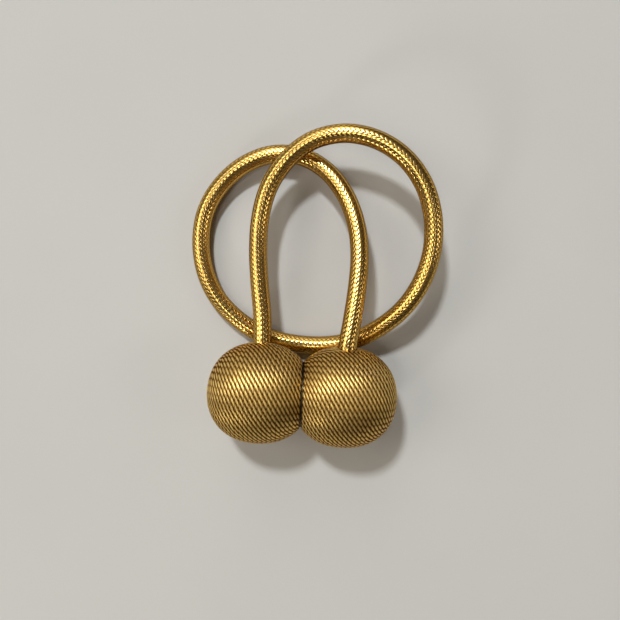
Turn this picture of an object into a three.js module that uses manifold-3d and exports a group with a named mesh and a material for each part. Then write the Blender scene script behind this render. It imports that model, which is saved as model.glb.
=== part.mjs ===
// A magnetic curtain tieback, lying closed: two cord-wound balls held face to face by the magnets
// inside them, and one braided rope that loops twice on its way from ball to ball.
// Millimetres, +Z up. +X runs along the balls' common axis, and the origin lies on the surface
// that the tieback rests on, below the middle of the two mating faces.
import * as THREE from "three";
import { mergeVertices } from "three/addons/utils/BufferGeometryUtils.js";
import Module from "manifold-3d";

const wasm = await Module();
wasm.setup();

// Wound balls
const ballRadius = 17.5; // at the fattest section
const headLength = 18.3; // from the fattest section to the outer pole
const faceDepth = 14.6; // from the fattest section back to the flat mating face
const squareness = 2.2; // exponent of the rounded outline; 2 would be an ellipse
const faceGap = 0.4; // between the two mating faces
const cordPitch = 1.55; // from one turn of the winding cord to the next
const cordRelief = 0.45; // how far the groove between two turns lies under their crowns
const flatDepth = 0.5; // how much of the lowest turns the small flat spot takes off
const ballSides = 40;

// Rope
const ropeDiameter = 6.5;
const ropeSides = 12;
const ropeSteps = 78;
const socketDepth = 3; // how far the rope goes into its ball
const fitGap = 0.3; // round the rope in its socket, and in front of its end

// Where the rope leaves each ball: the angle above the horizontal, on the side that faces +Y.
const leftExitAngle = THREE.MathUtils.degToRad(-5);
const rightExitAngle = THREE.MathUtils.degToRad(8);

const axisHeight = ballRadius - flatDepth;
const ballCentreX = faceGap / 2 + faceDepth;

const cordGold = new THREE.MeshStandardMaterial({ color: 0x9c7c34, roughness: 0.5, metalness: 0.55 });
const braidGold = new THREE.MeshStandardMaterial({ color: 0xc2923a, roughness: 0.35, metalness: 0.6 });

// Radius of a ball at a distance along its axis from the fattest section.
function radiusAt(along) {
  return ballRadius * (1 - Math.abs(along / headLength) ** squareness) ** (1 / squareness);
}

// The bare outline from the rim of the mating face to the outer pole, as a smooth curve. The angle
// runs evenly, which keeps the points close together where the outline turns in to the pole.
function bareOutline() {
  const rimAngle = Math.asin(faceDepth / headLength);
  const outline = new THREE.Path();
  const samples = 240;
  for (let i = 0; i <= samples; i++) {
    const angle = THREE.MathUtils.lerp(-rimAngle, Math.PI / 2, i / samples);
    const along = headLength * Math.sin(angle);
    const point = new THREE.Vector2(i === samples ? 0 : radiusAt(along), along);
    if (i === 0) outline.moveTo(point.x, point.y);
    else outline.lineTo(point.x, point.y);
  }
  return outline;
}

// One turn of the cord across the outline: how far along its pitch each point lies, and how deep
// under the crown as a share of the relief.
const turnPoints = [
  { along: 0, depth: 1 },
  { along: 1 / 3, depth: 0.08 },
  { along: 2 / 3, depth: 0.08 },
];

// The outline with a crown and a groove for every turn of the cord, and the flat mating face.
function woundOutline() {
  const bare = bareOutline();
  const turns = Math.round(bare.getLength() / cordPitch);
  const profile = [new THREE.Vector2(0, -faceDepth)];
  for (let turn = 0; turn < turns; turn++) {
    for (const { along, depth } of turnPoints) {
      const at = (turn + along) / turns;
      const tangent = bare.getTangentAt(at);
      const inward = new THREE.Vector2(-tangent.y, tangent.x);
      const point = bare.getPointAt(at).addScaledVector(inward, depth * cordRelief);
      if (turn === 0 && along === 0) point.y = -faceDepth;
      profile.push(point);
    }
  }
  profile.push(new THREE.Vector2(0, headLength));
  return profile;
}

// A closed three.js geometry as a solid that can be cut, and back again.
function toSolid(geometry, matrix) {
  const bare = geometry.clone().applyMatrix4(matrix);
  bare.deleteAttribute("normal");
  bare.deleteAttribute("uv");
  const merged = mergeVertices(bare, 1e-4);
  const mesh = new wasm.Mesh({
    numProp: 3,
    vertProperties: merged.attributes.position.array,
    triVerts: new Uint32Array(merged.index.array),
  });
  return new wasm.Manifold(mesh);
}

function toGeometry(solid) {
  const mesh = solid.getMesh();
  const geometry = new THREE.BufferGeometry();
  geometry.setAttribute("position", new THREE.BufferAttribute(mesh.vertProperties, 3));
  geometry.setIndex(new THREE.BufferAttribute(mesh.triVerts, 1));
  geometry.computeVertexNormals();
  return geometry;
}

// A point on the rope's way through a ball: side is -1 on the left ball and 1 on the right one, and
// reach is the distance from the balls' axis.
function exitPoint(side, angle, reach) {
  return new THREE.Vector3(
    side * ballCentreX,
    reach * Math.cos(angle),
    axisHeight + reach * Math.sin(angle),
  );
}

// One ball: the wound outline spun round the X axis, cut flat where it rests, with a blind round
// socket for the rope.
function makeBall(name, side, exitAngle) {
  const spun = new THREE.LatheGeometry(woundOutline(), ballSides);
  const toAxis = new THREE.Matrix4()
    .makeTranslation(side * ballCentreX, 0, axisHeight)
    .multiply(new THREE.Matrix4().makeRotationZ((-side * Math.PI) / 2));

  const blockHeight = 10;
  const block = new THREE.BoxGeometry(3 * ballRadius, 3 * ballRadius, blockHeight);
  const belowSurface = new THREE.Matrix4().makeTranslation(side * ballCentreX, 0, -blockHeight / 2);

  const boreLength = 2 * socketDepth;
  const bore = new THREE.CylinderGeometry(
    ropeDiameter / 2 + fitGap,
    ropeDiameter / 2 + fitGap,
    boreLength,
    2 * ropeSides,
  );
  const boreCentre = exitPoint(side, exitAngle, ballRadius - socketDepth + boreLength / 2);
  const alongExit = new THREE.Matrix4()
    .makeTranslation(boreCentre.x, boreCentre.y, boreCentre.z)
    .multiply(new THREE.Matrix4().makeRotationX(exitAngle));

  const solid = toSolid(spun, toAxis)
    .subtract(toSolid(block, belowSurface))
    .subtract(toSolid(bore, alongExit));
  const ball = new THREE.Mesh(toGeometry(solid), cordGold);
  ball.name = name;
  return ball;
}

// The rope's centre line between its two sockets, from the left ball to the right one: up the left
// strand, over the other run at the top, round the right loop, down to the surface in front of the
// balls, round the left loop on the surface, and up under the first run to the right ball.
const ropeWay = [
  [-15.5, 27.4, 14.1],
  [-17.1, 38.5, 13.1],
  [-18.2, 49.8, 12.5],
  [-18.0, 61.1, 12.6],
  [-15.5, 72.1, 13.3],
  [-9.6, 81.7, 14.8],
  [-1.0, 88.4, 17.0],
  [9.8, 90.9, 19.3],
  [20.8, 89.1, 20.7],
  [30.6, 83.5, 21.1],
  [37.8, 74.8, 20.9],
  [41.7, 64.2, 20.2],
  [42.4, 53.0, 19.0],
  [39.9, 42.1, 17.2],
  [34.6, 32.4, 14.6],
  [27.0, 24.9, 10.9],
  [18.0, 19.5, 6.9],
  [7.8, 17.0, 4.6],
  [-3.4, 16.9, 3.7],
  [-14.4, 19.0, 3.4],
  [-24.4, 24.3, 3.4],
  [-32.7, 31.9, 3.4],
  [-38.1, 41.8, 3.4],
  [-40.2, 52.9, 3.4],
  [-38.9, 64.1, 3.7],
  [-33.6, 74.0, 4.3],
  [-25.3, 81.6, 5.2],
  [-15.0, 85.6, 6.5],
  [-4.4, 84.9, 7.9],
  [5.0, 79.6, 9.6],
  [12.0, 70.8, 11.6],
  [16.2, 60.3, 13.5],
  [17.7, 49.3, 15.3],
  [17.3, 38.1, 16.9],
  [16.1, 27.0, 18.2],
].map(([x, y, z]) => new THREE.Vector3(x, y, z));

function makeRope(name) {
  const endReach = ballRadius - socketDepth + fitGap;
  const centreLine = new THREE.CatmullRomCurve3(
    [
      exitPoint(-1, leftExitAngle, endReach),
      exitPoint(-1, leftExitAngle, ballRadius),
      ...ropeWay,
      exitPoint(1, rightExitAngle, ballRadius),
      exitPoint(1, rightExitAngle, endReach),
    ],
    false,
    "centripetal",
  );
  const section = new THREE.Shape(
    Array.from({ length: ropeSides }, (_, i) => {
      const angle = (2 * Math.PI * i) / ropeSides;
      return new THREE.Vector2(Math.cos(angle), Math.sin(angle)).multiplyScalar(ropeDiameter / 2);
    }),
  );
  const geometry = new THREE.ExtrudeGeometry(section, {
    extrudePath: centreLine,
    steps: ropeSteps,
  });
  const rope = new THREE.Mesh(geometry, braidGold);
  rope.name = name;
  return rope;
}

const tieback = new THREE.Group();
tieback.add(makeBall("ball_left", -1, leftExitAngle));
tieback.add(makeBall("ball_right", 1, rightExitAngle));
tieback.add(makeRope("rope"));

export default tieback;
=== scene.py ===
import math

import bpy
import numpy as np
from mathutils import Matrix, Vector


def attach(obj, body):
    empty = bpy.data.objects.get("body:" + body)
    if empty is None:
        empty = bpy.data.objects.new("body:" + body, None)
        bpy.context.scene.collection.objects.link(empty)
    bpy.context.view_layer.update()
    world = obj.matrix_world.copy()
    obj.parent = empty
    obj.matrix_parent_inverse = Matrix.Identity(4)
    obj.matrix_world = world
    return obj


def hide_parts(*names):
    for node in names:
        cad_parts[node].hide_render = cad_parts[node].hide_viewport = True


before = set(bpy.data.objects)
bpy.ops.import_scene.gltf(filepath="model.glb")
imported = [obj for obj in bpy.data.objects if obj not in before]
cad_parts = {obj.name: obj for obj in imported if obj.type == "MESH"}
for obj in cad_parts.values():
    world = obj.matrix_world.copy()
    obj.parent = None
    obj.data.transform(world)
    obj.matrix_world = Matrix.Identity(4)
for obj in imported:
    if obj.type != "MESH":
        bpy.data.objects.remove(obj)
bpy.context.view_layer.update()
millimetre = 0.001
print("frame loaded")

# The camera looks straight down, turned as the tieback lies in the picture.
camera = {
    "place": (0.00129, 0.02954, 0.2336),
    "turnDegrees": 2.9,
    "viewWidth": 0.2328,  # of the surface, from edge to edge of the picture
    "sensorWidth": 36.0,
}


def makeCamera(values):
    data = bpy.data.cameras.new("camera")
    data.sensor_width = values["sensorWidth"]
    data.lens = values["sensorWidth"] * values["place"][2] / values["viewWidth"]
    data.clip_start, data.clip_end = 0.01, 20
    made = bpy.data.objects.new("camera", data)
    made.location = values["place"]
    made.rotation_euler = (0, 0, math.radians(values["turnDegrees"]))
    bpy.context.scene.collection.objects.link(made)
    bpy.context.scene.camera = made


makeCamera(camera)


# Curves and frames

def curveThrough(points, perSpan):
    # A centripetal Catmull-Rom curve. Each span is a cubic Hermite curve, and the slope at each of
    # its ends is the mean of the chords beside it, weighted by the square roots of their lengths.
    p = np.asarray(points, float)
    p = np.vstack([2 * p[0] - p[1], p, 2 * p[-1] - p[-2]])
    root = np.sqrt(np.linalg.norm(np.diff(p, axis=0), axis=1))[:, None]
    before, start, end, after = p[:-3], p[1:-2], p[2:-1], p[3:]
    rootBefore, rootHere, rootAfter = root[:-2], root[1:-1], root[2:]
    chord = (end - start) / rootHere
    slopeIn = (start - before) / rootBefore - (end - before) / (rootBefore + rootHere) + chord
    slopeOut = chord - (after - start) / (rootHere + rootAfter) + (after - end) / rootAfter
    t = np.linspace(0, 1, perSpan, endpoint=False)[:, None, None]
    spans = (
        start * (2 * t**3 - 3 * t**2 + 1)
        + slopeIn * rootHere * (t**3 - 2 * t**2 + t)
        + end * (3 * t**2 - 2 * t**3)
        + slopeOut * rootHere * (t**3 - t**2)
    )
    return np.vstack([spans.transpose(1, 0, 2).reshape(-1, 3), p[-2]])


def lengthAlong(line):
    # The distance from the line's first point to each point, measured along it.
    steps = np.linalg.norm(np.diff(line, axis=0), axis=1)
    return np.concatenate([[0], np.cumsum(steps)])


def valuesAt(stations, knots, rows):
    # Straight interpolation of each column of rows, which are known at the knots.
    columns = [np.interp(stations, knots, column) for column in np.asarray(rows).T]
    return np.stack(columns, axis=-1)


def unit(vectors):
    return vectors / np.linalg.norm(vectors, axis=-1, keepdims=True)


def dot(a, b):
    return np.sum(a * b, axis=-1, keepdims=True)


def squareTo(vectors, tangents):
    # The vectors without their share along the tangents, at unit length.
    return unit(vectors - dot(vectors, tangents) * tangents)


def flattened(wave, flatness):
    # A wave from -1 to 1 with flatter tops.
    return np.tanh(flatness * wave) / math.tanh(flatness)


# Meshes

def tubeMesh(name, centres, across, outward, halfWidth, halfHeight, ring, along, depth):
    # Closed tubes, one for each row of centres. A ring point is the centre plus its first number
    # times halfWidth towards across, plus its second times halfHeight outward. The rings are
    # joined by quads, and each end is capped.
    tubes, steps = centres.shape[:2]
    sides = len(ring)
    points = (
        centres[:, :, None]
        + (halfWidth[..., None, None] * ring[:, :1]) * across[:, :, None]
        + (halfHeight[..., None, None] * ring[:, 1:]) * outward[:, :, None]
    )
    index = np.arange(tubes * steps * sides).reshape(tubes, steps, sides)
    ahead = np.roll(index, -1, axis=2)
    quads = np.stack([index[:, :-1], index[:, 1:], ahead[:, 1:], ahead[:, :-1]], axis=-1)
    caps = np.concatenate([index[:, 0], index[:, -1, ::-1]])
    corners = np.concatenate([quads.ravel(), caps.ravel()])
    starts = np.concatenate([
        np.arange(quads.size // 4) * 4,
        quads.size + np.arange(len(caps)) * sides,
    ])

    # The UV map: metres along the tube, and turns round it.
    turn = np.arange(sides + 1) / sides
    corner = np.array([[0, 0], [1, 0], [1, 1], [0, 1]])
    uv = np.zeros((len(corners), 2), np.float32)
    body = uv[:quads.size].reshape(tubes, steps - 1, sides, 4, 2)
    body[..., 0] = along[:, np.arange(steps - 1)[:, None] + corner[:, 0]][:, :, None]
    body[..., 1] = turn[np.arange(sides)[:, None] + corner[:, 1]]
    uv[quads.size:, 0] = np.repeat(np.concatenate([along[:, 0], along[:, -1]]), sides)
    return putMesh(name, points.reshape(-1, 3), corners, starts, uv, depth.ravel())


def putMesh(name, points, corners, starts, uv, depth):
    mesh = bpy.data.meshes.new(name)
    mesh.vertices.add(len(points))
    mesh.vertices.foreach_set("co", points.astype(np.float32).ravel())
    mesh.loops.add(len(corners))
    mesh.loops.foreach_set("vertex_index", corners.astype(np.int32))
    mesh.polygons.add(len(starts))
    mesh.polygons.foreach_set("loop_start", starts.astype(np.int32))
    mesh.update(calc_edges=True)
    mesh.polygons.foreach_set("use_smooth", np.ones(len(starts), bool))
    mesh.uv_layers.new(name="thread").data.foreach_set("uv", uv.astype(np.float32).ravel())
    crown = mesh.attributes.new("crown", "FLOAT", "POINT")
    crown.data.foreach_set("value", depth.astype(np.float32))
    mesh.validate()
    made = bpy.data.objects.new(name, mesh)
    bpy.context.scene.collection.objects.link(made)
    return made


def keepVectors(piece, label, vectors, shape):
    # A direction for each point of some tubes, kept for the material. The shape counts the tubes,
    # the rings of each and the points of a ring.
    attribute = piece.data.attributes.new(label, "FLOAT_VECTOR", "POINT")
    spread = np.broadcast_to(vectors, (*shape, 3)).astype(np.float32)
    attribute.data.foreach_set("vector", spread.ravel())


# The rope: a round braid of flat strands round a core, half of them winding each way. Each strand
# goes over three strands of the other half, and then under three.
rope = {
    "diameter": 0.0065,
    "strandsEachWay": 18,
    "crossedByFloat": 3,
    "floatPitch": 0.0017,  # from one float to the next, along the rope
    "strandWidth": 0.00115,
    "strandThickness": 0.00024,
    "floatFlatness": 1.3,
    "swell": 0.05,  # how much wider a strand is on top of a float, as a share
    # A strand's section, as shares of half its width and half its thickness.
    "strandSection": [(1, 0), (0.70, 0.85), (0, 1), (-0.70, 0.85), (-1, 0), (0, -1)],
    "stepsPerWave": 11,
    "bulge": 0.22,  # how far the gloss turns from a strand's middle to its edges
    "columnBulge": 0.10,  # the same along a float, from its middle to its ends
    "paintedEdgeShade": 0.15,  # painted shade: how much darker a strand's edges are, as a share
    "coreDiameter": 0.0052,
    "coreSides": 16,
    "coreStep": 0.002,
    "leftExit": (-0.0148, 0.01743, 0.01547),
    "rightExit": (0.0148, 0.01733, 0.01944),
    "leftExitDegrees": -5,
    "rightExitDegrees": 8,
    "inBall": 0.0027,  # how far it goes into its ball
    # How the braid is rolled about the rope's centre: shares of the length, and degrees.
    "rollShares": [0, 0.04, 0.125, 0.21, 0.27, 0.65, 0.72, 0.82, 0.90, 1],
    "rollDegrees": [-6, -3, 10, 15, -1, -1, 15, 12, 0, -6],
}

# The rope's way from the left ball to the right one, in millimetres: up the left strand, over the
# other run at the top, round the right loop, down to the surface in front of the balls, round the
# left loop on the surface, and up under the first run to the right ball. A program traced most of
# these places from a picture of the rope, and the heights were set from its shadows.
ropeWay = [
    (-15.5, 27.4, 14.1), (-17.1, 38.5, 13.1), (-18.2, 49.8, 12.5), (-18.0, 61.1, 12.6),
    (-15.5, 72.1, 13.3), (-9.6, 81.7, 14.8), (-1.0, 88.4, 17.0), (9.8, 90.9, 19.3),
    (20.8, 89.1, 20.7), (30.6, 83.5, 21.1), (37.8, 74.8, 20.9), (41.7, 64.2, 20.2),
    (42.4, 53.0, 19.0), (39.9, 42.1, 17.2), (34.6, 32.4, 14.6), (27.0, 24.9, 10.9),
    (18.0, 19.5, 6.9), (7.8, 17.0, 4.6), (-3.4, 16.9, 3.7), (-14.4, 19.0, 3.4),
    (-24.4, 24.3, 3.4), (-32.7, 31.9, 3.4), (-38.1, 41.8, 3.4), (-40.2, 52.9, 3.4),
    (-38.9, 64.1, 3.7), (-33.6, 74.0, 4.3), (-25.3, 81.6, 5.2), (-15.0, 85.6, 6.5),
    (-4.4, 84.9, 7.9), (5.0, 79.6, 9.6), (12.0, 70.8, 11.6), (16.2, 60.3, 13.5),
    (17.7, 49.3, 15.3), (17.3, 38.1, 16.9), (16.1, 27.0, 18.2),
]


def insideBall(exitPlace, degrees, depth):
    # A point on the rope's line through a ball, the depth behind its exit.
    angle = math.radians(degrees)
    return np.array(exitPlace) - depth * np.array([0, math.cos(angle), math.sin(angle)])


def ropeLine(values):
    points = np.vstack([
        insideBall(values["leftExit"], values["leftExitDegrees"], values["inBall"]),
        values["leftExit"],
        np.array(ropeWay) * millimetre,
        values["rightExit"],
        insideBall(values["rightExit"], values["rightExitDegrees"], values["inBall"]),
    ])
    return curveThrough(points, perSpan=48)


def ropeFrame(line):
    # At each point of the rope: its direction, the level direction across it, and the direction
    # that is square to both and points up.
    tangent = unit(np.gradient(line, axis=0))
    lift = squareTo(np.broadcast_to([0.0, 0, 1], line.shape), tangent)
    return tangent, np.cross(tangent, lift), lift


def braidHalf(name, values, line, hand):
    # A strand's angle round the rope grows evenly along it, by one turn in strandsEachWay floats.
    # Its height above the braid's middle layer is a cosine with one wave for every six crossings,
    # flattened by a hyperbolic tangent so that a float lies straight. The gloss faces outward from
    # the rope, bulged a little along each float and across each strand.
    count = values["strandsEachWay"]
    turnLength = count * values["floatPitch"]
    crossing = turnLength / (2 * count)
    knots = lengthAlong(line)
    over = values["crossedByFloat"]
    steps = int(knots[-1] / (2 * over * crossing) * values["stepsPerWave"])
    stations = np.linspace(0, knots[-1], steps)
    _, side, lift = ropeFrame(line)
    centre = valuesAt(stations, knots, line)
    side, lift = valuesAt(stations, knots, side), valuesAt(stations, knots, lift)

    number = np.arange(count)[:, None]
    angle = 2 * np.pi * (number / count + hand * stations / turnLength)
    roll = np.interp(stations / knots[-1], values["rollShares"], values["rollDegrees"])
    angle = angle + np.radians(roll)
    passed = 2 * number + hand * stations / crossing
    floatEnd = (over - 1) / 2
    phase = np.pi / over * (passed - floatEnd)
    level = hand * np.cos(phase)
    wave = flattened(level, values["floatFlatness"])
    thick = values["strandThickness"]
    swing = thick / 2 / flattened(math.cos(math.pi / over * floatEnd), values["floatFlatness"])
    middle = values["diameter"] / 2 - thick / 2 - swing
    radial = np.cos(angle)[..., None] * side + np.sin(angle)[..., None] * lift
    centres = centre + (middle + swing * wave)[..., None] * radial
    tangents = unit(np.gradient(centres, axis=1))
    outward = squareTo(radial, tangents)
    across = np.cross(tangents, outward)

    ring = np.array(values["strandSection"], float)
    halfWidth = values["strandWidth"] / 2 * (1 + values["swell"] * wave)
    halfHeight = np.full_like(halfWidth, thick / 2)
    along = np.broadcast_to(stations, wave.shape)
    # The crown mask paints shade: a strand's colour is darker where its float dives under the other
    # strands, and towards its edges.
    crown = (0.5 + 0.5 * level[..., None]) * (1 - values["paintedEdgeShade"] * ring[:, 0] ** 2)
    made = tubeMesh(name, centres, across, outward, halfWidth, halfHeight, ring, along, crown)
    shape = (*wave.shape, len(ring))
    roundRope = np.cos(angle)[..., None] * lift - np.sin(angle)[..., None] * side
    facing = radial + (values["columnBulge"] * hand * np.sin(phase))[..., None] * roundRope
    bulge = values["bulge"] * ring[:, :1] * across[:, :, None]
    keepVectors(made, "facing", facing[:, :, None] + bulge, shape)
    return made


def ropeCore(name, values, line):
    # A plain round tube along the rope's centre line.
    knots = lengthAlong(line)
    stations = np.linspace(0, knots[-1], int(knots[-1] / values["coreStep"]))
    _, side, lift = ropeFrame(line)
    centres, side, lift = (valuesAt(stations, knots, rows)[None] for rows in (line, side, lift))
    angle = 2 * np.pi * np.arange(values["coreSides"]) / values["coreSides"]
    ring = np.stack([np.cos(angle), np.sin(angle)], axis=1)
    half = np.full(centres.shape[:2], values["coreDiameter"] / 2)
    crown = np.zeros(half.size * len(ring))
    return tubeMesh(name, centres, side, lift, half, half, ring, stations[None], crown)


centreLine = ropeLine(rope)
strandsRight = braidHalf("rope_strands_right", rope, centreLine, 1)
strandsLeft = braidHalf("rope_strands_left", rope, centreLine, -1)
core = ropeCore("rope_core", rope, centreLine)
for piece in (strandsRight, strandsLeft, core):
    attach(piece, "root")
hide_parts("rope")


# The balls: a cord of two plies wound side by side over a solid of revolution about the X axis,
# from the middle of the flat mating face to the outer pole. Sizes as in the solids.
ball = {
    "radius": 0.0175,
    "headLength": 0.0183,
    "faceDepth": 0.0146,
    "squareness": 2.2,
    "faceGap": 0.0,  # the magnets press the two windings together
    "flatDepth": 0.0005,
    "cordPitch": 0.00150,
    "plySwing": 0.00060,  # of a ply's centre, to either side of the cord's
    "plyLift": 0.00012,
    "evenness": 0.985,
    "plyFlatness": 0.5,
    "plyHalfWidth": 0.00038,
    "plyHalfHeight": 0.00028,
    # A ply's section, as shares of its half width and half height.
    "plySection": [(1, 0), (0.72, 0.80), (0, 1), (-0.72, 0.80), (-1, 0), (0, -1)],
    "twistsOnFattestTurn": 22,
    "fewestTwists": 3,
    "stepsPerTwist": 15,
    "poleHole": 0.0011,  # how near the cord's centre comes to the ball's axis
    "partReach": 0.0038,  # from the rope's centre to the cord that it pushes aside
    "partFade": 0.0075,  # how far away the cords lie straight again
    "underDepth": 0.00050,  # the under layer, below the crowns of the cord
    "underSides": 96,
    "underRings": 80,
    "socketRadius": 0.0034,
    "socketRim": 0.0050,
    "socketGap": 0.00013,  # between the rope's end and the bottom of its socket
}


def ballOutline(values, inset, count):
    # The rounded outline as (distance along the axis, radius): a superellipse, whose two sizes are
    # multiplied by the sine and the cosine of an angle to the power 2 / squareness. It is moved
    # inwards by the inset, cut at the mating face, and led straight to the axis there.
    power = 2 / values["squareness"]
    faceAngle = math.asin((values["faceDepth"] / values["headLength"]) ** (1 / power))
    angle = np.linspace(-faceAngle, math.pi / 2, count)
    sine = np.sin(angle)
    axial = values["headLength"] * np.sign(sine) * np.abs(sine) ** power
    radius = values["radius"] * np.maximum(np.cos(angle), 0) ** power
    outline = np.stack([axial, radius], axis=1)
    tangent = unit(np.gradient(outline, axis=0))
    tangent[-1] = (0, -1)
    inward = np.stack([tangent[:, 1], -tangent[:, 0]], axis=1)
    outline = outline + inset * inward
    face = inset - values["faceDepth"]
    outline = outline[outline[:, 0] > face]
    edge = np.array([[face, outline[0, 1]]])
    return np.vstack([[[face, 0]], edge, outline])


def windingRoute(values, inset):
    # The outline of the cord's centre, with its length from the middle of the face, and the length
    # at which it is fattest.
    outline = ballOutline(values, inset, 4000)
    knots = lengthAlong(outline)
    return outline, knots, knots[np.argmax(outline[:, 1])]


def ballMiddle(side, values):
    # Where the ball's axis crosses its fattest section.
    return np.array([
        side * (values["faceGap"] / 2 + values["faceDepth"]), 0, values["radius"] - values["flatDepth"],
    ])


def windBall(name, values, side, exitDegrees):
    # The cord is a spiral: its place along the outline and its angle round the ball both grow
    # evenly, and its stations are spread evenly along its length. Each ply turns round the cord's
    # centre like a left-handed screw: it goes evenly from groove to groove over the other one, and
    # back under it.
    outline, knots, fattest = windingRoute(values, values["plyLift"] + values["plyHalfHeight"])
    first, last = values["poleHole"], knots[-1] - values["poleHole"]
    turns = round((last - first) / values["cordPitch"])
    share = np.linspace(0, 1, 40000)
    radius = np.interp(first + share * (last - first), knots, outline[:, 1])
    cordLength = np.concatenate([[0], np.cumsum((radius[1:] + radius[:-1]) / 2 * np.diff(share))])
    cordLength *= 2 * np.pi * turns
    twist = 2 * np.pi * outline[:, 1].max() / values["twistsOnFattestTurn"]
    steps = int(cordLength[-1] / twist * values["stepsPerTwist"])
    stations = np.linspace(0, cordLength[-1], steps)
    share = np.interp(stations, cordLength, share)

    # Round the rope the cords part: their distance from it grows as if round a post.
    exitAngle = math.radians(exitDegrees)
    angle = 2 * np.pi * turns * share
    place = first + share * (last - first)
    fromRope = (angle - exitAngle + np.pi) % (2 * np.pi) - np.pi
    beside = place - fattest
    post = np.maximum(values["partReach"] ** 2 - (fromRope * values["radius"]) ** 2, 0)
    post *= np.exp(-((beside / values["partFade"]) ** 2))
    place = fattest + np.sign(beside) * np.sqrt(beside**2 + post)

    axial, radius = valuesAt(place, knots, outline).T
    centre = ballMiddle(side, values)
    around = np.stack([np.zeros(steps), np.cos(angle), np.sin(angle)], axis=1)
    cord = centre + radius[:, None] * around
    cord[:, 0] += side * axial
    tangent = unit(np.gradient(cord, axis=0))
    slopes = valuesAt(place, knots, np.gradient(outline, knots, axis=0))
    outward = slopes[:, :1] * around
    outward[:, 0] -= side * slopes[:, 1]
    outward = squareTo(outward, tangent)
    across = np.cross(tangent, outward)

    # Each turn, counted from the surface, has a whole number of twists, so that the plies of
    # neighbouring turns meet on top of the ball.
    counted = np.arange(turns + 2)
    middle = first + np.clip((counted - 0.75) / turns, 0, 1) * (last - first)
    whole = np.round(2 * np.pi * np.interp(middle, knots, outline[:, 1]) / twist)
    whole = np.maximum(whole, values["fewestTwists"])
    twists = np.interp(angle / (2 * np.pi) + 0.25, counted, np.cumsum(whole) - whole[0])
    plyTurn = 2 * np.pi * (twists + np.array([[0], [0.5]]))
    sideways = np.arcsin(values["evenness"] * np.cos(plyTurn)) / math.asin(values["evenness"])
    upwards = flattened(np.sin(plyTurn), values["plyFlatness"])
    sideways = values["plySwing"] * sideways[..., None] * across
    centres = cord + sideways + values["plyLift"] * upwards[..., None] * outward
    plyTangent = unit(np.gradient(centres, axis=1))
    away = squareTo(np.broadcast_to(outward, centres.shape), plyTangent)
    beside = np.cross(plyTangent, away)
    ring = np.array(values["plySection"], float)
    halfWidth = np.full(plyTurn.shape, values["plyHalfWidth"])
    halfHeight = np.full(plyTurn.shape, values["plyHalfHeight"])
    along = np.broadcast_to(stations, plyTurn.shape)
    # The crown mask paints shade: a ply's colour is darker down in the grooves between the plies.
    reach = values["plyLift"] * upwards[..., None] + values["plyHalfHeight"] * ring[:, 1]
    crown = 0.5 + 0.5 * reach / (values["plyLift"] + values["plyHalfHeight"])
    made = tubeMesh(name, centres, beside, away, halfWidth, halfHeight, ring, along, crown)
    shape = (*plyTurn.shape, len(ring))
    keepVectors(made, "facing", outward[None, :, None], shape)
    keepVectors(made, "grain", tangent[None, :, None], shape)
    restOnSurface(made)
    return made


def restOnSurface(piece):
    # What would reach below the surface is pressed flat on it.
    mesh = piece.data
    points = np.zeros(len(mesh.vertices) * 3, np.float32)
    mesh.vertices.foreach_get("co", points)
    points[2::3] = np.maximum(points[2::3], 0)
    mesh.vertices.foreach_set("co", points)
    mesh.update()


def underLayer(name, values, side, exitDegrees):
    # The layer under the cord: the outline moved inwards and spun round the X axis, with a blind
    # socket where the rope goes in.
    outline = ballOutline(values, values["underDepth"], 2000)
    knots = lengthAlong(outline)
    rings = values["underRings"]
    stations = np.linspace(0, knots[-1], rings + 2)[1:-1]
    axial, radius = valuesAt(stations, knots, outline).T
    sides = values["underSides"]
    angle = 2 * np.pi * np.arange(sides) / sides
    fromRope = (angle - math.radians(exitDegrees) + np.pi) % (2 * np.pi) - np.pi
    away = np.hypot(axial[:, None], fromRope * radius[:, None])
    wall = (values["socketRim"] - away) / (values["socketRim"] - values["socketRadius"])
    bottom = values["radius"] - rope["inBall"] - values["socketGap"]
    radius = radius[:, None] + np.clip(wall, 0, 1) * (bottom - radius[:, None])
    centre = ballMiddle(side, values)
    points = np.stack([
        np.broadcast_to(centre[0] + side * axial[:, None], radius.shape),
        centre[1] + radius * np.cos(angle),
        centre[2] + radius * np.sin(angle),
    ], axis=-1).reshape(-1, 3)
    poles = centre + np.array([[side * outline[0, 0], 0, 0], [side * outline[-1, 0], 0, 0]])
    points = np.vstack([points, poles])
    index = np.arange(rings * sides).reshape(rings, sides)
    ahead = np.roll(index, -1, axis=1)
    quads = np.stack([index[:-1], ahead[:-1], ahead[1:], index[1:]], axis=-1).reshape(-1, 4)
    facePole, headPole = len(points) - 2, len(points) - 1
    fans = np.concatenate([
        np.stack([np.full(sides, facePole), ahead[0], index[0]], axis=1),
        np.stack([np.full(sides, headPole), index[-1], ahead[-1]], axis=1),
    ])
    if side > 0:
        quads, fans = quads[:, ::-1], fans[:, ::-1]
    corners = np.concatenate([quads.ravel(), fans.ravel()])
    starts = np.concatenate([np.arange(len(quads)) * 4, quads.size + np.arange(len(fans)) * 3])
    uv = points[corners][:, 1:]
    return putMesh(name, points, corners, starts, uv, np.zeros(len(points)))


windings, underLayers = [], []
for name, side, degrees in (
    ("left", -1, rope["leftExitDegrees"]),
    ("right", 1, rope["rightExitDegrees"]),
):
    winding = windBall(f"ball_{name}_winding", ball, side, degrees)
    under = underLayer(f"ball_{name}_under_layer", ball, side, degrees)
    for piece in (winding, under):
        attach(piece, "root")
    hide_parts(f"ball_{name}")
    windings.append(winding)
    underLayers.append(under)
print("balls wound")


# Materials

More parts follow.
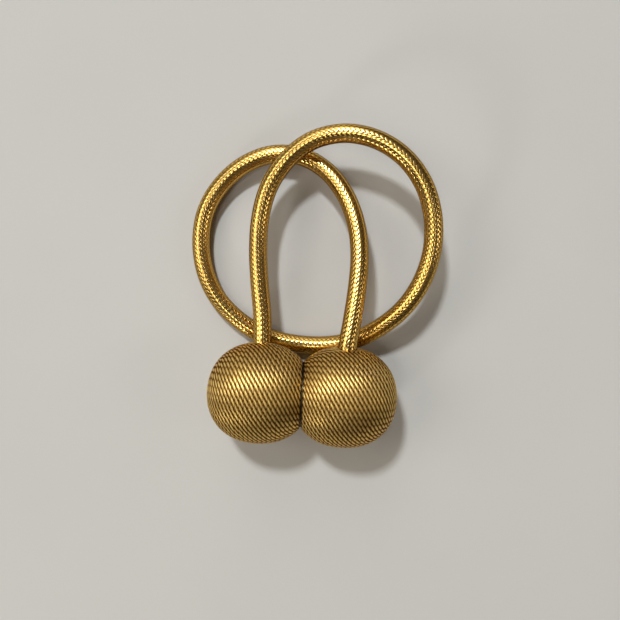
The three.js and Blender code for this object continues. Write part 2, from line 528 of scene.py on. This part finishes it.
def put(tree, kind, links, **settings):
    # A new node. Each link is an input's name or number with another node's output or a value.
    node = tree.nodes.new(kind)
    for key, value in settings.items():
        setattr(node, key, value)
    for key, value in links.items():
        if isinstance(value, bpy.types.NodeSocket):
            tree.links.new(value, node.inputs[key])
        else:
            node.inputs[key].default_value = value
    return node


def arith(tree, operation, *terms):
    links = dict(enumerate(terms))
    return put(tree, "ShaderNodeMath", links, operation=operation).outputs[0]


def fitted(tree, value, low, high, newLow, newHigh, kind="LINEAR"):
    # The value's range from low to high, spread from newLow to newHigh and kept inside it.
    links = {"Value": value, "From Min": low, "From Max": high, "To Min": newLow, "To Max": newHigh}
    return put(tree, "ShaderNodeMapRange", links, interpolation_type=kind).outputs[0]


def blend(tree, kind, share, first, second):
    links = {0: share, 6: first, 7: second}
    return put(tree, "ShaderNodeMix", links, data_type="RGBA", blend_type=kind).outputs[2]


def scaled(tree, vector, scale):
    links = {0: vector, "Scale": scale}
    return put(tree, "ShaderNodeVectorMath", links, operation="SCALE").outputs[0]


noiseSpan = (0.3, 0.7)  # where nearly all the values of a noise lie


def newGroup(name, inputs, outputs):
    # A shader node group with named sockets, and its input and output nodes.
    group = bpy.data.node_groups.new(name, "ShaderNodeTree")
    for label, kind, value in inputs:
        socket = group.interface.new_socket(label, in_out="INPUT", socket_type=kind)
        socket.default_value = value
    for label, kind in outputs:
        group.interface.new_socket(label, in_out="OUTPUT", socket_type=kind)
    return group, group.nodes.new("NodeGroupInput"), group.nodes.new("NodeGroupOutput")


# What all the yarns share.
yarn = {
    "filamentRelief": 0.00002,
    "driftScale": 90.0,  # of the dye's slow drift, in waves per metre
    "driftRoughness": 0.03,  # how much the gloss drifts with the dye
    "streakGloss": 0.2,  # how much smoother a light filament is
    "paintedShadeRise": (0.25, 0.85),  # of the surface's upward direction: where the painted shade is full, and where it is gone
    "paintedSeamStart": 0.3,  # where the painted shade of the seam begins to fade, as a share of its width
    "paintedSeamShade": 0.12,  # what is left of the colour in the seam's painted shade
}


def fibresGroup():
    # Filaments that run along a thread and turn slowly round it. The noise is read on a cylinder:
    # round it by the thread's turn, and along it by the thread's length.
    group, given, result = newGroup(
        "thread fibres",
        [
            ("Filaments", "NodeSocketFloat", 8.0),
            ("Streak Length", "NodeSocketFloat", 0.004),
            ("Turns Per Metre", "NodeSocketFloat", 60.0),
            ("Bump Strength", "NodeSocketFloat", 0.3),
            ("Evenness", "NodeSocketFloat", 0.0),
        ],
        [("Streak", "NodeSocketFloat"), ("Normal", "NodeSocketVector")],
    )
    thread = put(group, "ShaderNodeUVMap", {}, uv_map="thread").outputs[0]
    split = put(group, "ShaderNodeSeparateXYZ", {0: thread})
    along, turn = split.outputs[0], split.outputs[1]
    turned = arith(group, "MULTIPLY_ADD", along, given.outputs["Turns Per Metre"], turn)
    angle = arith(group, "MULTIPLY", turned, 2 * math.pi)
    radius = arith(group, "DIVIDE", given.outputs["Filaments"], 2 * math.pi)
    place = put(group, "ShaderNodeCombineXYZ", {
        0: arith(group, "MULTIPLY", radius, arith(group, "COSINE", angle)),
        1: arith(group, "MULTIPLY", radius, arith(group, "SINE", angle)),
        2: arith(group, "DIVIDE", along, given.outputs["Streak Length"]),
    }).outputs[0]
    noise = put(group, "ShaderNodeTexNoise", {"Vector": place, "Scale": 1.0, "Detail": 2.0})
    streak = fitted(group, noise.outputs[0], *noiseSpan, 0.0, 1.0)
    # Filaments lie across the small dips, so that the gloss is more even than the surface.
    facing = put(group, "ShaderNodeAttribute", {}, attribute_name="facing").outputs["Vector"]
    bare = put(group, "ShaderNodeNewGeometry", {}).outputs["Normal"]
    pull = scaled(group, facing, given.outputs["Evenness"])
    evened = put(group, "ShaderNodeVectorMath", {0: bare, 1: pull}, operation="ADD").outputs[0]
    evened = put(group, "ShaderNodeVectorMath", {0: evened}, operation="NORMALIZE").outputs[0]
    normal = put(group, "ShaderNodeBump", {
        "Height": streak,
        "Strength": given.outputs["Bump Strength"],
        "Distance": yarn["filamentRelief"],
        "Normal": evened,
    }).outputs[0]
    group.links.new(streak, result.inputs["Streak"])
    group.links.new(normal, result.inputs["Normal"])
    return group


def shadeGroup():
    # Painted shade: grooves darker than crowns, with a slow drift of the dye from place to place.
    group, given, result = newGroup(
        "yarn shade",
        [
            ("Crown Colour", "NodeSocketColor", (1, 1, 1, 1)),
            ("Groove Shade Colour", "NodeSocketColor", (0, 0, 0, 1)),
            ("Groove Height", "NodeSocketFloat", 0.2),
            ("Crown Height", "NodeSocketFloat", 0.9),
            ("Streak", "NodeSocketFloat", 0.5),
            ("Streak Depth", "NodeSocketFloat", 0.3),
            ("Drift Depth", "NodeSocketFloat", 0.15),
            ("Roughness", "NodeSocketFloat", 0.3),
            ("Coat", "NodeSocketFloat", 0.0),
        ],
        [
            ("Colour", "NodeSocketColor"),
            ("Roughness", "NodeSocketFloat"),
            ("Coat", "NodeSocketFloat"),
        ],
    )
    crown = put(group, "ShaderNodeAttribute", {}, attribute_name="crown").outputs["Fac"]
    grooveHeight, crownHeight = given.outputs["Groove Height"], given.outputs["Crown Height"]
    onCrown = fitted(group, crown, grooveHeight, crownHeight, 0.0, 1.0, "SMOOTHSTEP")
    place = put(group, "ShaderNodeTexCoord", {}).outputs["Object"]
    slow = put(group, "ShaderNodeTexNoise", {"Vector": place, "Scale": yarn["driftScale"], "Detail": 3.0})
    drift = fitted(group, slow.outputs[0], *noiseSpan, -1.0, 1.0)
    streakShade = arith(group, "SUBTRACT", given.outputs["Streak"], 0.5)
    streakShade = arith(group, "MULTIPLY", streakShade, given.outputs["Streak Depth"])
    shade = arith(group, "MULTIPLY_ADD", drift, given.outputs["Drift Depth"], 1.0)
    shade = arith(group, "ADD", shade, streakShade)
    grooveShadeColour, crownColour = given.outputs["Groove Shade Colour"], given.outputs["Crown Colour"]
    colour = scaled(group, blend(group, "MIX", onCrown, grooveShadeColour, crownColour), shade)
    rough = arith(group, "MULTIPLY_ADD", drift, yarn["driftRoughness"], given.outputs["Roughness"])
    smoother = arith(group, "MULTIPLY", streakShade, yarn["streakGloss"])
    rough = arith(group, "SUBTRACT", rough, smoother)
    coat = arith(group, "MULTIPLY", onCrown, given.outputs["Coat"])
    group.links.new(colour, result.inputs["Colour"])
    group.links.new(rough, result.inputs["Roughness"])
    group.links.new(coat, result.inputs["Coat"])
    return group


fibres = fibresGroup()
yarnShade = shadeGroup()


def yarnMaterial(name, values):
    material = bpy.data.materials.new(name)
    material.use_nodes = True
    tree = material.node_tree
    shader = tree.nodes["Principled BSDF"]
    thread = put(tree, "ShaderNodeGroup", {}, node_tree=fibres)
    thread.inputs["Filaments"].default_value = values["filaments"]
    thread.inputs["Streak Length"].default_value = values["streakLength"]
    thread.inputs["Turns Per Metre"].default_value = values["turnsPerMetre"]
    thread.inputs["Bump Strength"].default_value = values["bump"]
    thread.inputs["Evenness"].default_value = values["evenness"]
    shade = put(tree, "ShaderNodeGroup", {}, node_tree=yarnShade)
    shade.inputs["Crown Colour"].default_value = (*values["crownColour"], 1)
    shade.inputs["Groove Shade Colour"].default_value = (*values["grooveShadeColour"], 1)
    shade.inputs["Groove Height"].default_value = values["grooveHeight"]
    shade.inputs["Crown Height"].default_value = values["crownHeight"]
    shade.inputs["Streak Depth"].default_value = values["streakDepth"]
    shade.inputs["Drift Depth"].default_value = values["driftDepth"]
    shade.inputs["Roughness"].default_value = values["roughness"]
    shade.inputs["Coat"].default_value = values["coat"]
    tree.links.new(thread.outputs["Streak"], shade.inputs["Streak"])
    colour = shade.outputs["Colour"]
    if "paintedSideShade" in values:
        # Painted shade: darker down the sides and underneath, where the yarn would stand in its own
        # shade.
        surface = put(tree, "ShaderNodeNewGeometry", {}).outputs["Normal"]
        rise = put(tree, "ShaderNodeSeparateXYZ", {0: surface}).outputs["Z"]
        shaded = fitted(tree, rise, *yarn["paintedShadeRise"], values["paintedSideShade"], 0.0)
        colour = blend(tree, "MIX", shaded, colour, (*values["paintedSideShadeColour"], 1))
    if "paintedSeamWidth" in values:
        # Painted shade: dark where the two balls meet.
        place = put(tree, "ShaderNodeTexCoord", {}).outputs["Object"]
        offset = put(tree, "ShaderNodeSeparateXYZ", {0: place}).outputs[0]
        offset = arith(tree, "ABSOLUTE", offset)
        width = values["paintedSeamWidth"]
        start = width * yarn["paintedSeamStart"]
        seam = fitted(tree, offset, start, width, yarn["paintedSeamShade"], 1.0, "SMOOTHSTEP")
        colour = scaled(tree, colour, seam)
    tree.links.new(colour, shader.inputs["Base Color"])
    tree.links.new(shade.outputs["Roughness"], shader.inputs["Roughness"])
    tree.links.new(thread.outputs["Normal"], shader.inputs["Normal"])
    shader.inputs["Metallic"].default_value = values["metallic"]
    shader.inputs["Anisotropic"].default_value = values["anisotropic"]
    shader.inputs["Anisotropic Rotation"].default_value = values["anisotropicTurn"]
    tree.links.new(shade.outputs["Coat"], shader.inputs["Coat Weight"])
    shader.inputs["Coat Roughness"].default_value = values["coatRoughness"]
    shader.inputs["Specular Tint"].default_value = (*values["edgeColour"], 1)
    if values["anisotropic"]:
        grain = put(tree, "ShaderNodeAttribute", {}, attribute_name="grain")
        tree.links.new(grain.outputs["Vector"], shader.inputs["Tangent"])
    return material


# The colours and the gloss of each yarn. The groove and crown heights are shares of the yarn's own
# height, and the grooves' darker colour is painted shade. Only the rope has painted shade down its
# sides, and only the balls have a painted dark seam where they meet.
ropeYarn = {
    "crownColour": (0.98, 0.63, 0.17),
    "grooveShadeColour": (0.09, 0.036, 0.004),
    "grooveHeight": 0.5,
    "crownHeight": 0.9,
    "filaments": 7.0,
    "streakLength": 0.006,
    "turnsPerMetre": 30.0,
    "streakDepth": 0.25,
    "driftDepth": 0.08,
    "bump": 0.05,
    "evenness": 3.0,
    "roughness": 0.22,
    "metallic": 1.0,
    "edgeColour": (0.15, 0.09, 0.03),
    "anisotropic": 0.0,
    "anisotropicTurn": 0.25,
    "coat": 0.3,
    "coatRoughness": 0.15,
    # Painted shade down the rope's sides: how strong it is, and its colour.
    "paintedSideShade": 0.65,
    "paintedSideShadeColour": (0.30, 0.14, 0.018),
}
ballYarn = {
    "crownColour": (0.97, 0.67, 0.21),
    "grooveShadeColour": (0.16, 0.06, 0.005),
    "grooveHeight": 0.72,
    "crownHeight": 0.92,
    "filaments": 7.0,
    "streakLength": 0.005,
    "turnsPerMetre": 60.0,
    "streakDepth": 0.45,
    "driftDepth": 0.08,
    "bump": 0.2,
    "evenness": 1.5,
    "roughness": 0.49,
    "metallic": 1.0,
    "edgeColour": (0.45, 0.28, 0.12),
    "anisotropic": 0.6,
    "anisotropicTurn": 0.25,
    "coat": 0.8,
    "coatRoughness": 0.35,
    # The width of the painted shade along the seam where the balls meet.
    "paintedSeamWidth": 0.0008,
}
# Painted shade: the layer under the cord and the rope's core are a dull dark brown, much darker than the
# yarn on top, as they lie in shade.
underYarn = {
    "crownColour": (0.30, 0.16, 0.03),
    "grooveShadeColour": (0.26, 0.13, 0.02),
    "grooveHeight": 0.2,
    "crownHeight": 0.5,
    "filaments": 300.0,
    "streakLength": 0.002,
    "turnsPerMetre": 0.0,
    "streakDepth": 0.5,
    "driftDepth": 0.2,
    "bump": 0.2,
    "evenness": 0.0,
    "roughness": 0.6,
    "metallic": 0.3,
    "edgeColour": (1.0, 1.0, 1.0),
    "anisotropic": 0.0,
    "anisotropicTurn": 0.0,
    "coat": 0.0,
    "coatRoughness": 0.3,
}
ropeGold = yarnMaterial("rope_gold", ropeYarn)
cordGold = yarnMaterial("cord_gold", ballYarn)
underGold = yarnMaterial("under_gold", underYarn)
for piece in (strandsRight, strandsLeft):
    piece.data.materials.append(ropeGold)
for piece in windings:
    piece.data.materials.append(cordGold)
for piece in (core, *underLayers):
    piece.data.materials.append(underGold)
print("materials made")


# The studio: a pale surface, a small main light at the upper left, a faint one at the lower left,
# and a dim sky with glows that the gloss of the rope reflects.
studio = {
    "floorSize": 3.0,
    "floorColour": (0.60, 0.582, 0.553),
    "cloudSize": 0.08,
    "cloudLift": 1.03,
    "grainSize": 0.0015,
    "grainRoughness": (0.75, 0.90),
    "grainBump": 0.15,
    "grainRelief": 0.0001,
    "aim": (0.0, 0.035, 0.0),
    "mainTowards": (-0.30, 0.606, 1.0),
    "mainDistance": 2.6,
    "mainSize": 0.29,
    "mainPower": 39.5,
    "mainColour": (0.90, 0.96, 1.0),
    "lowTowards": (-0.55, -0.75, 0.42),
    "lowDistance": 0.8,
    "lowSize": 0.12,
    "lowPower": 0.9,
    "lowColour": (1.0, 0.96, 0.9),
    "skyDim": (0.08, 0.069, 0.058),
    # Where each glow of the sky is, its colour, and the degrees from its middle to where it ends
    # and to where it is full.
    "glows": [
        ((-0.25, 1.0, 0.60), (1.4, 1.33, 1.2), (26, 10)),
        ((-1.1, 0.15, 1.0), (2.5, 2.38, 2.14), (22, 10)),
        ((-0.22, -0.20, 1.0), (8.0, 7.6, 6.8), (8, 4)),
        ((1.4, -0.10, 1.0), (4.0, 3.75, 3.35), (9, 4)),
    ],
}


def makeFloor(values):
    half = values["floorSize"] / 2
    mesh = bpy.data.meshes.new("floor")
    corners = [(-half, -half, 0), (half, -half, 0), (half, half, 0), (-half, half, 0)]
    mesh.from_pydata(corners, [], [(0, 1, 2, 3)])
    floor = bpy.data.objects.new("floor", mesh)
    bpy.context.scene.collection.objects.link(floor)
    mesh.materials.append(floorPaint(values))


def floorPaint(values):
    # Matt paint: faint clouds in its colour, and a fine roller grain in its gloss and relief.
    material = bpy.data.materials.new("floor_paint")
    material.use_nodes = True
    tree = material.node_tree
    shader = tree.nodes["Principled BSDF"]
    place = put(tree, "ShaderNodeTexCoord", {}).outputs["Object"]
    clouds, grain = (
        put(tree, "ShaderNodeTexNoise", {"Vector": place, "Scale": 1 / size, "Detail": 3.0}).outputs[0]
        for size in (values["cloudSize"], values["grainSize"])
    )
    low = (*values["floorColour"], 1)
    high = (*(channel * values["cloudLift"] for channel in values["floorColour"]), 1)
    colour = blend(tree, "MIX", fitted(tree, clouds, *noiseSpan, 0.0, 1.0), low, high)
    tree.links.new(colour, shader.inputs["Base Color"])
    rough = fitted(tree, grain, *noiseSpan, *values["grainRoughness"])
    tree.links.new(rough, shader.inputs["Roughness"])
    relief = put(tree, "ShaderNodeBump", {
        "Height": grain, "Strength": values["grainBump"], "Distance": values["grainRelief"],
    })
    tree.links.new(relief.outputs[0], shader.inputs["Normal"])
    return material


def makeLight(name, values):
    data = bpy.data.lights.new(name, "AREA")
    data.shape = "DISK"
    data.size = values[name + "Size"]
    data.energy = values[name + "Power"]
    data.color = values[name + "Colour"]
    towards = Vector(values[name + "Towards"]).normalized()
    light = bpy.data.objects.new(name, data)
    light.location = Vector(values["aim"]) + towards * values[name + "Distance"]
    light.rotation_euler = towards.to_track_quat("Z", "Y").to_euler()
    bpy.context.scene.collection.objects.link(light)


def makeSky(values):
    # Dim, with soft round glows: a wide one at the back and on the left, and a small bright one
    # overhead and on the right.
    world = bpy.data.worlds.new("sky")
    world.use_nodes = True
    tree = world.node_tree
    place = put(tree, "ShaderNodeTexCoord", {}).outputs["Generated"]
    colour = (*values["skyDim"], 1)
    for towards, glowColour, degrees in values["glows"]:
        outer, inner = (math.cos(math.radians(angle)) for angle in degrees)
        facing = put(tree, "ShaderNodeVectorMath", {
            0: place, 1: Vector(towards).normalized(),
        }, operation="DOT_PRODUCT").outputs["Value"]
        glow = fitted(tree, facing, outer, inner, 0, 1, "SMOOTHSTEP")
        colour = blend(tree, "MIX", glow, colour, (*glowColour, 1))
    tree.links.new(colour, tree.nodes["Background"].inputs["Color"])
    bpy.context.scene.world = world


makeFloor(studio)
makeLight("main", studio)
makeLight("low", studio)
makeSky(studio)
bpy.context.scene.view_settings.view_transform = "Standard"
print("studio lit")
